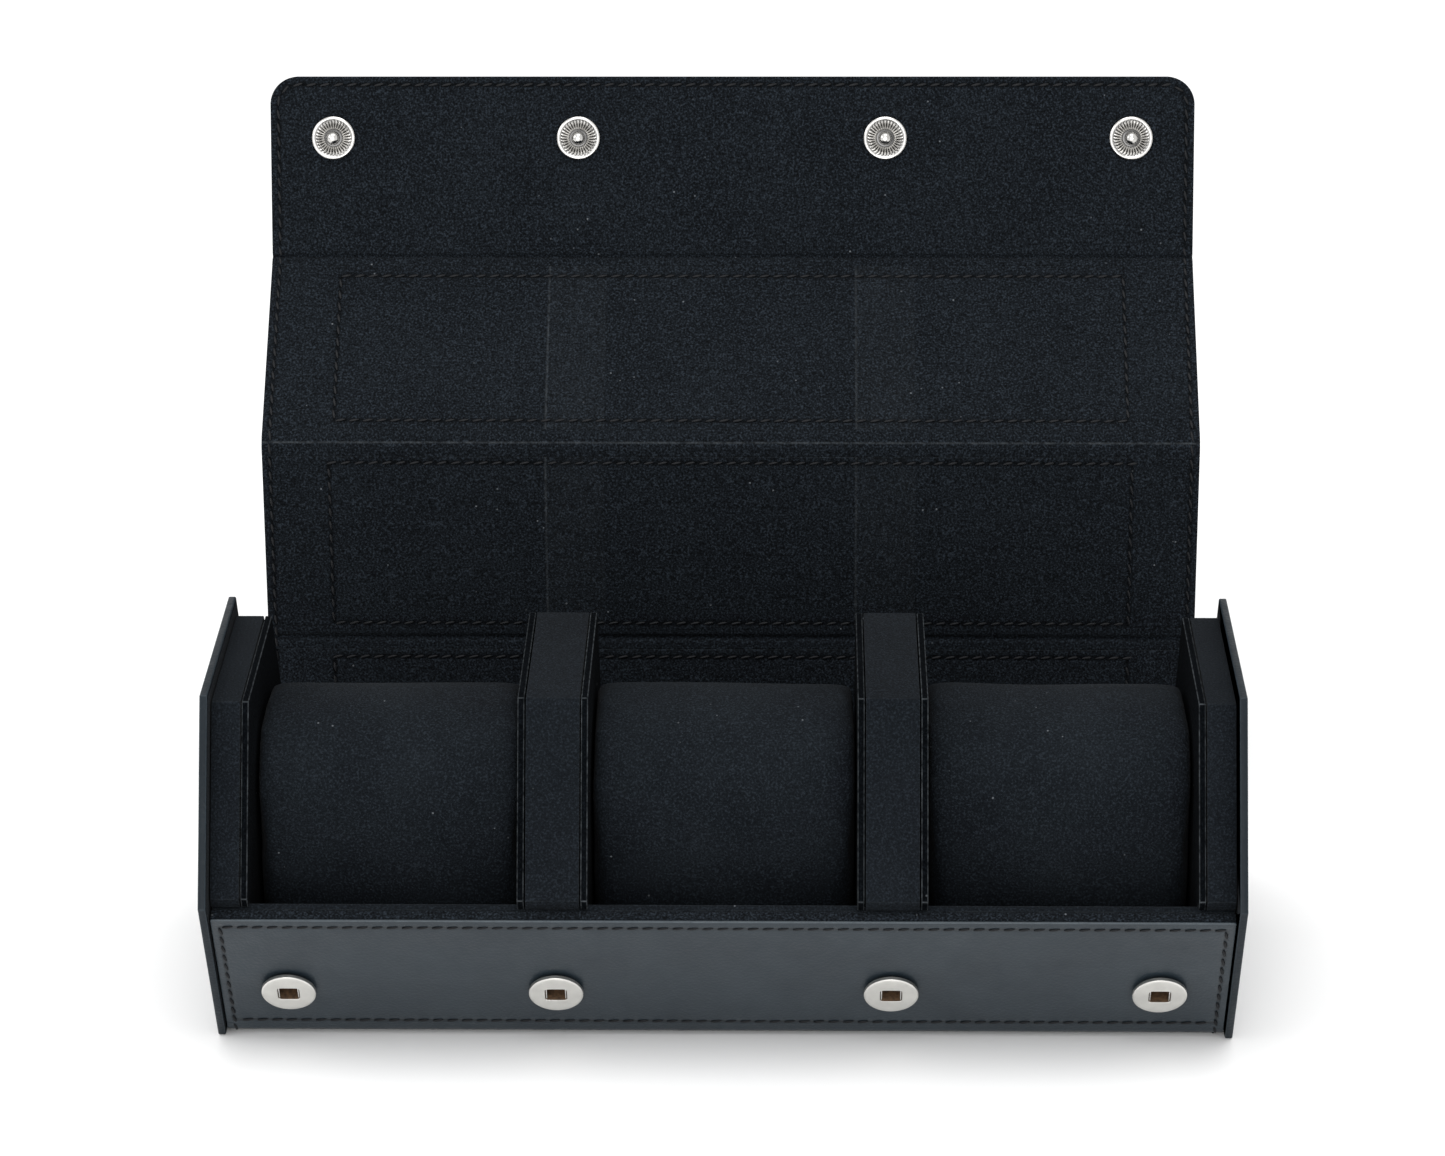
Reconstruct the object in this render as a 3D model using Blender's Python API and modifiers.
"""Hexagonal three-slot watch and jewellery case, standing open.

Two hexagonal end plates carry a wrap of leather, board and suede lining. The wrap is
the front wall and the base, and runs on as a flap of four panels and a snap tab that
folds over the top. Two dividers make three wells, each with a lift-out cushion.

Metres. The origin is the centre of the base's underside, +X runs along the case, +Y
points to the flap's hinge and +Z is up. Angles lie in the Y-Z plane, from +Y to +Z.
"""
import math

import bmesh
import bpy
from mathutils import Matrix, Vector

# Overall sizes of the closed hexagon.
CASE_LENGTH = 0.2360
CASE_HEIGHT = 0.0871
FLAT_DEPTH = 0.0560         # the flat top and bottom
WAIST_DEPTH = 0.0983        # at half height

# Sheet stock, and the air left between sheets that lie on each other.
GAP = 0.0003
LEATHER = 0.0007
BOARD = 0.0013
LINING = 0.0006
LINER = 0.0019              # suede-covered tray inside the walls
END_LEATHER = 0.0006
END_BOARD = 0.0009

# Edges of the wrap.
REVEAL = 0.0010             # the end plates' outline stands this far beyond the wrap
SIDE_GAP = 0.0004           # wrap to end plate, each end
BOARD_MARGIN = 0.0010       # the board stops short of the leather's side edges
WALL_DROP = 0.0057          # top edge of the walls, down the slope from the waist corner
SETBACK = {"leather": 0.0008, "board": 0.0018, "lining": 0.0014}    # from a fold's axis

# End blocks and dividers.
BLOCK_CORE = 0.0066
DIVIDER_CORE = 0.0122
SIDE_PANEL = 0.0016
EDGE_STRIP = 0.0010
DIVIDER_TOP = 0.0022        # below the end plates' top
BLOCK_TOP = 0.0033
BLOCK_EXTRA_INSET = 0.0004  # the blocks sit this much further in than the dividers

# Cushions.
CUSHION_SIDE_GAP = 0.0016
CUSHION_DEPTH = 0.0510
CUSHION_HEIGHT = 0.0690
CUSHION_EDGE = 0.0070
CUSHION_LIFT_GAP = 0.0003

# Snap fasteners.
SNAP_HEIGHT = 0.0176        # up the front wall's slope from the bottom corner
SNAP_END = 0.0180           # outer snaps, in from the ends
STUD_FROM_FOLD = 0.03025
SOCKET_RIM = 0.00625
SOCKET_SKIRT = 0.0052
SOCKET_SHANK = 0.0040
SOCKET_PROUD = 0.0019
SOCKET_RIM_HEIGHT = 0.0010
WINDOW = (0.0052, 0.0044, 0.0031)   # opening for the ball: across, up, deep
SPRING_SLOT = (0.0092, 0.0009, 0.0007)
STUD_FLANGE = 0.00545
STUD_FLANGE_THICK = 0.0005
BALL_RADIUS = 0.0017
BALL_HEIGHT = 0.0028        # above the flange
STUD_SHANK = 0.0015
CAP_RADIUS = 0.0060
CAP_THICK = 0.0016
CAP_GRIP = 0.0007           # how far the stud's shank enters the cap

# Flap.
TAB_LENGTH = 0.0455
TAB_CORNER = 0.0070
OPEN_ANGLES = (5.33, 78.4, 85.6, 40.72, 74.53)  # degrees, hinge panel first, tab last

ROUND_STEPS = 32
CORNER_STEPS = 6

# Derived sizes.
WRAP = LEATHER + BOARD + LINING + 2 * GAP
END_PLATE = END_LEATHER + GAP + END_BOARD
PLATE_INNER = CASE_LENGTH / 2 - END_PLATE
WRAP_HALF = PLATE_INNER - SIDE_GAP
BLOCK_PANEL_OUT = PLATE_INNER - 2 * GAP - BLOCK_CORE
BLOCK_INNER = BLOCK_PANEL_OUT - SIDE_PANEL
DIVIDER = DIVIDER_CORE + 2 * (GAP + SIDE_PANEL)
WELL = (2 * BLOCK_INNER - 2 * DIVIDER) / 3
DIVIDER_X = (WELL + DIVIDER) / 2
SNAP_XS = tuple(side * x for x in (CASE_LENGTH / 2 - SNAP_END, DIVIDER_X) for side in (-1, 1))
SNAP_NAMES = ("left_outer", "right_outer", "left_inner", "right_inner")
FLOOR_TOP = WRAP + GAP + LINER
FLAP_INSET = REVEAL + WRAP / 2          # the closed panels' middle, inside the plates' outline
LINER_INSET = REVEAL + WRAP + GAP
INSERT_INSET = LINER_INSET + LINER + GAP
DIVIDER_INSET = REVEAL + WRAP + GAP
TOP_PANEL_INSET = DIVIDER_TOP - GAP - WRAP / 2
TAB_OFFSET = SOCKET_PROUD + STUD_FLANGE_THICK + 2 * GAP + WRAP / 2 - REVEAL

SLOPE_DEPTH = (WAIST_DEPTH - FLAT_DEPTH) / 2
SLOPE = math.hypot(CASE_HEIGHT / 2, SLOPE_DEPTH)
SLOPE_OUT = SLOPE_DEPTH / SLOPE
SLOPE_UP = CASE_HEIGHT / 2 / SLOPE
WALL_TOP = SLOPE - WALL_DROP

# Each side of the end plate's outline: its outward normal, and a corner on it.
SIDES = {
    "base": (Vector((0, -1)), Vector((0, 0))),
    "top": (Vector((0, 1)), Vector((0, CASE_HEIGHT))),
    "back_low": (Vector((SLOPE_UP, -SLOPE_OUT)), Vector((FLAT_DEPTH / 2, 0))),
    "back_up": (Vector((SLOPE_UP, SLOPE_OUT)), Vector((FLAT_DEPTH / 2, CASE_HEIGHT))),
    "front_low": (Vector((-SLOPE_UP, -SLOPE_OUT)), Vector((-FLAT_DEPTH / 2, 0))),
    "front_up": (Vector((-SLOPE_UP, SLOPE_OUT)), Vector((-FLAT_DEPTH / 2, CASE_HEIGHT))),
}


def meet(side_a, inset_a, side_b, inset_b):
    """Corner (y, z) of two sides of the outline, each moved inwards by its inset."""
    normal_a, corner_a = SIDES[side_a]
    normal_b, corner_b = SIDES[side_b]
    rows = Matrix((normal_a, normal_b))
    reach = (normal_a.dot(corner_a) - inset_a, normal_b.dot(corner_b) - inset_b)
    return rows.inverted() @ Vector(reach)


def up_slope(side, inset, distance):
    """Point on a lower wall, a distance up the slope and an inset in from its outline."""
    normal, corner = SIDES[side]
    outward = math.copysign(1, normal.x)
    return corner + distance * Vector((outward * SLOPE_OUT, SLOPE_UP)) - inset * normal


# ---------------------------------------------------------------- scene and helpers

def clear_scene():
    """Start from nothing."""
    for obj in list(bpy.data.objects):
        bpy.data.objects.remove(obj, do_unlink=True)


def make_collection(name):
    """A collection in the scene."""
    collection = bpy.data.collections.new(name)
    bpy.context.scene.collection.children.link(collection)
    return collection


def make_material(name, color, roughness, metallic=0.0):
    """A plain Principled material."""
    material = bpy.data.materials.new(name)
    material.use_nodes = True
    shader = material.node_tree.nodes["Principled BSDF"]
    shader.inputs["Base Color"].default_value = (*color, 1.0)
    shader.inputs["Roughness"].default_value = roughness
    shader.inputs["Metallic"].default_value = metallic
    return material


def place(obj, collection, material=None, parent=None, location=(0, 0, 0), rotation=(0, 0, 0)):
    """Link an object, give it its material and set where it stands."""
    collection.objects.link(obj)
    obj.parent = parent
    obj.location = location
    obj.rotation_euler = rotation
    if material:
        obj.data.materials.append(material)
    return obj


def make_empty(name, location, angle, parent=None):
    """A fold's axis: +X across the case, +Y along the panel that turns on it."""
    empty = bpy.data.objects.new(name, None)
    empty.empty_display_size = 0.02
    return place(empty, parts, parent=parent, location=location, rotation=(angle, 0, 0))


def flat_curve(name, outlines, thickness):
    """A flat outline, with any holes as further loops, given a thickness."""
    curve = bpy.data.curves.new(name, "CURVE")
    curve.dimensions = "2D"
    curve.fill_mode = "BOTH"
    curve.extrude = thickness / 2
    for outline in outlines:
        spline = curve.splines.new("POLY")
        spline.points.add(len(outline) - 1)
        for point, (across, along) in zip(spline.points, outline):
            point.co = (across, along, 0, 1)
        spline.use_cyclic_u = True
    return bpy.data.objects.new(name, curve)


def prism(name, outlines, x_low, x_high, material, collection=None):
    """A Y-Z outline run along X from x_low to x_high."""
    low, high = sorted((x_low, x_high))
    obj = flat_curve(name, outlines, high - low)
    upright = (math.pi / 2, 0, math.pi / 2)
    where = ((low + high) / 2, 0, 0)
    return place(obj, collection or parts, material, location=where, rotation=upright)


def sheet(name, parent, across, along, z_low, z_high, material, radius=0.0, holes=()):
    """A flat sheet in its parent's frame; radius rounds its far corners, holes are cut."""
    outline = rounded_rectangle(across, along, radius)
    loops = [outline] + [circle_loop(*hole) for hole in holes]
    obj = flat_curve(name, loops, z_high - z_low)
    middle = (0, 0, (z_low + z_high) / 2)
    return place(obj, parts, material, parent=parent, location=middle)


def rounded_rectangle(half_width, along, radius):
    """A rectangle between two distances along, with its far corners rounded."""
    near, far = along
    points = [(-half_width, near), (half_width, near)]
    if radius == 0:
        return points + [(half_width, far), (-half_width, far)]
    for side, first in ((1, 0), (-1, 90)):
        for step in range(CORNER_STEPS + 1):
            turn = math.radians(first + 90 * step / CORNER_STEPS)
            across = side * (half_width - radius) + radius * math.cos(turn)
            points.append((across, far - radius + radius * math.sin(turn)))
    return points


def circle_loop(across, along, radius):
    """A round hole's loop."""
    turns = [2 * math.pi * step / ROUND_STEPS for step in range(ROUND_STEPS)]
    return [(across + radius * math.cos(t), along + radius * math.sin(t)) for t in turns]


def as_mesh(obj):
    """Turn a curve object into a mesh object in the same place."""
    bpy.context.view_layer.update()
    evaluated = obj.evaluated_get(bpy.context.evaluated_depsgraph_get())
    mesh = bpy.data.meshes.new_from_object(evaluated)
    shape = bmesh.new()
    shape.from_mesh(mesh)
    bmesh.ops.remove_doubles(shape, verts=shape.verts, dist=0.000001)
    shape.to_mesh(mesh)
    shape.free()
    name, collection, parent = obj.name, obj.users_collection[0], obj.parent
    matrix = obj.matrix_local.copy()
    bpy.data.objects.remove(obj, do_unlink=True)
    solid = bpy.data.objects.new(name, mesh)
    collection.objects.link(solid)
    solid.parent = parent
    solid.matrix_local = matrix
    return solid


def cut(obj, cutter):
    """Take the cutter's shape out of an object."""
    cutter.hide_render = True
    cutter.display_type = "WIRE"
    modifier = obj.modifiers.new(cutter.name, "BOOLEAN")
    modifier.operation = "DIFFERENCE"
    modifier.solver = "EXACT"
    modifier.object = cutter


def turned(name, profile, parent, location, material):
    """A turned piece: a profile of (radius, height) points, top to bottom, spun round Z."""
    mesh = bpy.data.meshes.new(name)
    shape = bmesh.new()
    points = [shape.verts.new((radius, 0, height)) for radius, height in profile]
    for upper, lower in zip(points, points[1:]):
        shape.edges.new((upper, lower))
    shape.to_mesh(mesh)
    shape.free()
    obj = place(bpy.data.objects.new(name, mesh), parts, material, parent=parent, location=location)
    screw = obj.modifiers.new("turn", "SCREW")
    screw.steps = screw.render_steps = ROUND_STEPS
    screw.use_merge_vertices = True
    screw.merge_threshold = 0.00001
    return obj


def box_cutter(name, parent, location, size):
    """A rectangular cutter."""
    mesh = bpy.data.meshes.new(name)
    shape = bmesh.new()
    bmesh.ops.create_cube(shape, size=1.0, matrix=Matrix.Diagonal((*size, 1.0)))
    shape.to_mesh(mesh)
    shape.free()
    return place(bpy.data.objects.new(name, mesh), cutters, parent=parent, location=location)


# ---------------------------------------------------------------- end plates

def plate_outline(inset):
    """The hexagon, moved in all round."""
    order = ("base", "back_low", "back_up", "top", "front_up", "front_low")
    pairs = zip(order, order[1:] + order[:1])
    return [tuple(meet(first, inset, second, inset)) for first, second in pairs]


def make_end_plate(name, side):
    """Board hexagon with its leather turned over the edges like a shallow tray."""
    outer = side * CASE_LENGTH / 2
    inner = side * PLATE_INNER
    floor = outer - side * END_LEATHER
    leather = as_mesh(prism(f"{name}_end_leather", [plate_outline(0)], inner, outer, leather_look))
    past = inner - side * END_LEATHER
    pocket = as_mesh(prism(f"{name}_pocket", [plate_outline(END_LEATHER)], past, floor, None, cutters))
    cut(leather, pocket)
    board_outline = plate_outline(END_LEATHER + GAP)
    prism(f"{name}_end_board", [board_outline], inner, inner + side * END_BOARD, board_look)


# ---------------------------------------------------------------- blocks and dividers

def insert_outline(upper_inset, top_inset, shrink=0.0):
    """Section of a block or divider: notched to clear the tray, with sloping shoulders."""
    low_inset = INSERT_INSET + shrink
    shoulder = upper_inset + shrink
    notch = WALL_TOP + GAP + shrink
    back = [
        meet("back_low", low_inset, "base", FLOOR_TOP + GAP + shrink),
        up_slope("back_low", low_inset, notch),
        up_slope("back_low", shoulder, notch),
        meet("back_low", shoulder, "back_up", shoulder),
        meet("back_up", shoulder, "top", top_inset + shrink),
    ]
    front = [(-y, z) for y, z in reversed(back)]
    return [tuple(point) for point in back] + front


def make_insert(name, insets, core_low, core_high):
    """A core with a suede strip round its edge, between the two given X positions."""
    core = insert_outline(*insets, shrink=EDGE_STRIP + GAP)
    ring = [insert_outline(*insets), insert_outline(*insets, shrink=EDGE_STRIP)]
    prism(f"{name}_core", [core], core_low, core_high, core_look)
    prism(f"{name}_edge_strip", ring, core_low, core_high, suede_look)


def make_end_block(name, side):
    """The block inside an end plate, with its suede-covered face."""
    insets = (DIVIDER_INSET + BLOCK_EXTRA_INSET, BLOCK_TOP)
    core_outer = side * (PLATE_INNER - GAP)
    make_insert(f"{name}_block", insets, core_outer - side * BLOCK_CORE, core_outer)
    outline = insert_outline(*insets)
    prism(f"{name}_block_face", [outline], side * BLOCK_INNER, side * BLOCK_PANEL_OUT, suede_look)


def make_divider(name, side):
    """A divider: core and edge strip between two suede-covered faces."""
    insets = (DIVIDER_INSET, DIVIDER_TOP)
    centre = side * DIVIDER_X
    make_insert(f"{name}_divider", insets, centre - DIVIDER_CORE / 2, centre + DIVIDER_CORE / 2)
    for face, direction in (("left", -1), ("right", 1)):
        near = centre + direction * (DIVIDER_CORE / 2 + GAP)
        outline = insert_outline(*insets)
        face_name = f"{name}_divider_{face}_face"
        prism(face_name, [outline], near, near + direction * SIDE_PANEL, suede_look)


# ---------------------------------------------------------------- wrap

def layer_spans(outer, inward):
    """Name, lower height, upper height and look of each layer, from the outside in."""
    spans = []
    start = outer
    stock = (("leather", LEATHER, leather_look), ("board", BOARD, board_look),
             ("lining", LINING, suede_look))
    for layer, thickness, look in stock:
        end = start + inward * thickness
        spans.append((layer, min(start, end), max(start, end), look))
        start = end + inward * GAP
    return spans


def half_width(layer):
    """Half the width of a layer of the wrap."""
    return WRAP_HALF - (BOARD_MARGIN if layer == "board" else 0.0)


def make_front_wall(fold):
    """Front wall, up the slope, with holes for the sockets' shanks."""
    clear_base = (LEATHER + GAP - REVEAL * SLOPE_OUT) / SLOPE_UP
    holes = [(x, SNAP_HEIGHT, SOCKET_SHANK + GAP) for x in SNAP_XS]
    for layer, low, high, look in layer_spans(-REVEAL, -1):
        cuts = [] if layer == "lining" else holes
        sheet(f"front_{layer}", fold, half_width(layer), (clear_base, WALL_TOP), low, high, look,
              holes=cuts)


def make_base(hinge_y):
    """Base layers, from under the front wall back to the flap's hinge."""
    for layer, low, high, look in layer_spans(0.0, 1):
        front_inset = REVEAL if layer == "leather" else LINER_INSET
        front = meet("front_low", front_inset, "base", low).x
        span = (front, hinge_y - SETBACK[layer])
        sheet(f"base_{layer}", None, half_width(layer), span, low, high, look)


def make_liner():
    """The suede-covered tray in the trough: floor, front and back."""
    outer = LINER_INSET
    inner = outer + LINER
    levels = (WRAP + GAP, FLOOR_TOP)
    back_edge = [meet("back_low", outer, "base", level) for level in levels]
    floor = [tuple(point) for point in back_edge] + [(-y, z) for y, z in reversed(back_edge)]
    prism("liner_floor", [floor], -WRAP_HALF, WRAP_HALF, suede_look)
    for name, outward in (("back", 1), ("front", -1)):
        wall = [
            meet("back_low", inner, "base", FLOOR_TOP + GAP),
            meet("back_low", outer, "base", FLOOR_TOP + GAP),
            up_slope("back_low", outer, WALL_TOP),
            up_slope("back_low", inner, WALL_TOP),
        ]
        outline = [(outward * y, z) for y, z in wall]
        prism(f"liner_{name}", [outline], -WRAP_HALF, WRAP_HALF, suede_look)


def closed_folds():
    """The flap's fold axes (y, z) when the case is shut, hinge first."""
    tab_up = SNAP_HEIGHT + STUD_FROM_FOLD
    return [
        meet("back_low", FLAP_INSET, "base", WRAP / 2),
        meet("back_low", FLAP_INSET, "back_up", FLAP_INSET),
        meet("back_up", FLAP_INSET, "top", TOP_PANEL_INSET),
        meet("front_up", FLAP_INSET, "top", TOP_PANEL_INSET),
        up_slope("front_low", -TAB_OFFSET, tab_up),
    ]


def make_flap_panel(name, fold, length):
    """One stiff panel of the flap between two folds."""
    for layer, low, high, look in layer_spans(-WRAP / 2, 1):
        span = (SETBACK[layer], length - SETBACK[layer])
        sheet(f"{name}_{layer}", fold, half_width(layer), span, low, high, look)


def make_tab(fold):
    """The snap tab: rounded free corners, holes for the studs' shanks."""
    holes = [(x, STUD_FROM_FOLD, STUD_SHANK + GAP) for x in SNAP_XS]
    for layer, low, high, look in layer_spans(-WRAP / 2, 1):
        trim = BOARD_MARGIN if layer == "board" else 0.0
        span = (SETBACK[layer], TAB_LENGTH - trim)
        sheet(f"tab_{layer}", fold, half_width(layer), span, low, high, look,
              radius=TAB_CORNER - trim, holes=holes)


# ---------------------------------------------------------------- snaps

def make_socket(name, x, fold):
    """Snap socket on the front wall: rim, skirt and shank, with a window for the ball."""
    face = SOCKET_PROUD - REVEAL
    rim_under = face - SOCKET_RIM_HEIGHT
    skirt_under = GAP - REVEAL
    shank_end = -(REVEAL + LEATHER + GAP + BOARD)
    edge = SOCKET_RIM_HEIGHT / 4
    profile = [(0, face), (SOCKET_RIM - edge, face), (SOCKET_RIM, face - edge),
               (SOCKET_RIM, rim_under), (SOCKET_SKIRT, rim_under), (SOCKET_SKIRT, skirt_under),
               (SOCKET_SHANK, skirt_under), (SOCKET_SHANK, shank_end), (0, shank_end)]
    where = (x, SNAP_HEIGHT, 0)
    socket = turned(f"socket_{name}", profile, fold, where, metal_look)
    overshoot = GAP
    for label, (across, up, deep) in (("window", WINDOW), ("spring_slot", SPRING_SLOT)):
        middle = (x, SNAP_HEIGHT, face + (overshoot - deep) / 2)
        size = (across, up, deep + overshoot)
        cut(socket, box_cutter(f"{label}_{name}", fold, middle, size))


def make_stud(name, x, fold):
    """Snap stud on the tab's lining: flange, ball and a shank through the tab."""
    under = WRAP / 2 + GAP
    flange_top = under + STUD_FLANGE_THICK
    centre = flange_top + BALL_HEIGHT - BALL_RADIUS
    foot = math.asin(max(-1.0, (flange_top - centre) / BALL_RADIUS))
    steps = 8
    turns = [math.pi / 2 + (foot - math.pi / 2) * step / steps for step in range(steps + 1)]
    ball = [(BALL_RADIUS * math.cos(t), centre + BALL_RADIUS * math.sin(t)) for t in turns]
    shank_end = -(WRAP / 2 + GAP + CAP_GRIP)
    profile = [(0, ball[0][1])] + ball[1:] + [
        (STUD_FLANGE, flange_top), (STUD_FLANGE, under), (STUD_SHANK, under),
        (STUD_SHANK, shank_end), (0, shank_end)]
    turned(f"stud_{name}", profile, fold, (x, STUD_FROM_FOLD, 0), metal_look)


def make_cap(name, x, fold):
    """Domed cap on the tab's leather side, with a blind hole for the stud's shank."""
    seat = -(WRAP / 2 + GAP)
    crown = seat - CAP_THICK
    hole = STUD_SHANK + GAP
    hole_end = seat - CAP_GRIP - GAP
    shoulder = seat - CAP_THICK / 2
    profile = [(0, hole_end), (hole, hole_end), (hole, seat), (CAP_RADIUS, seat),
               (CAP_RADIUS, shoulder)]
    steps = 4
    for step in range(1, steps):
        turn = math.pi / 2 * step / steps
        profile.append((CAP_RADIUS * math.cos(turn), shoulder - CAP_THICK / 2 * math.sin(turn)))
    profile.append((0, crown))
    turned(f"snap_cap_{name}", profile, fold, (x, STUD_FROM_FOLD, 0), metal_look)


# ---------------------------------------------------------------- cushions

def make_cushion(name, x):
    """A watch cushion: a rounded upright pillow that stands on the tray's floor."""
    radius = CUSHION_DEPTH / 2
    bottom = FLOOR_TOP + CUSHION_LIFT_GAP
    top = bottom + CUSHION_HEIGHT
    steps = 12
    outline = []
    for middle, first in ((bottom + radius, 180), (top - radius, 0)):
        for step in range(steps + 1):
            turn = math.radians(first + 180 * step / steps)
            outline.append((radius * math.cos(turn), middle + radius * math.sin(turn)))
    half = WELL / 2 - CUSHION_SIDE_GAP
    cushion = as_mesh(prism(f"cushion_{name}", [outline], x - half, x + half, cushion_look))
    bevel = cushion.modifiers.new("soft_edge", "BEVEL")
    bevel.width = CUSHION_EDGE
    bevel.segments = 3
    bevel.limit_method = "ANGLE"
    bevel.angle_limit = math.radians(60)
    return cushion


# ---------------------------------------------------------------- build

clear_scene()
parts = make_collection("watch_case")
cutters = make_collection("cutters")
leather_look = make_material("leather", (0.012, 0.016, 0.021), 0.45)
board_look = make_material("board", (0.20, 0.18, 0.15), 0.90)
suede_look = make_material("suede", (0.004, 0.005, 0.007), 0.95)
core_look = make_material("core", (0.10, 0.10, 0.10), 0.95)
cushion_look = make_material("cushion_suede", (0.006, 0.007, 0.009), 0.95)
metal_look = make_material("nickel", (0.62, 0.61, 0.59), 0.25, 1.0)

for plate_name, plate_side in (("left", -1), ("right", 1)):
    make_end_plate(plate_name, plate_side)
    make_end_block(plate_name, plate_side)
    make_divider(plate_name, plate_side)

wall_angle = math.atan2(SLOPE_UP, -SLOPE_OUT)
front_fold = make_empty("front_fold", (0, -FLAT_DEPTH / 2, 0), wall_angle)
folds = closed_folds()
make_front_wall(front_fold)
make_base(folds[0].x)
make_liner()

panel_lengths = [(far - near).length for near, far in zip(folds, folds[1:])]
turned_so_far = 0.0
place_of_fold = (0, folds[0].x, folds[0].y)
parent_fold = None
fold_names = ("hinge_fold", "shoulder_fold", "top_back_fold", "top_front_fold", "tab_fold")
fold_axes = []
for fold_name, angle in zip(fold_names, OPEN_ANGLES):
    bend = math.radians(angle) - turned_so_far
    parent_fold = make_empty(fold_name, place_of_fold, bend, parent_fold)
    fold_axes.append(parent_fold)
    turned_so_far = math.radians(angle)
    if len(fold_axes) <= len(panel_lengths):
        place_of_fold = (0, panel_lengths[len(fold_axes) - 1], 0)

panel_names = ("flap_hinge", "flap_back", "flap_top", "flap_front")
for panel_name, panel_fold, panel_length in zip(panel_names, fold_axes, panel_lengths):
    make_flap_panel(panel_name, panel_fold, panel_length)
tab_fold = fold_axes[-1]
make_tab(tab_fold)

for snap_name, snap_x in zip(SNAP_NAMES, SNAP_XS):
    make_socket(snap_name, snap_x, front_fold)
    make_stud(snap_name, snap_x, tab_fold)
    make_cap(snap_name, snap_x, tab_fold)

for well_name, step in (("left", -1), ("middle", 0), ("right", 1)):
    make_cushion(well_name, step * (WELL + DIVIDER))
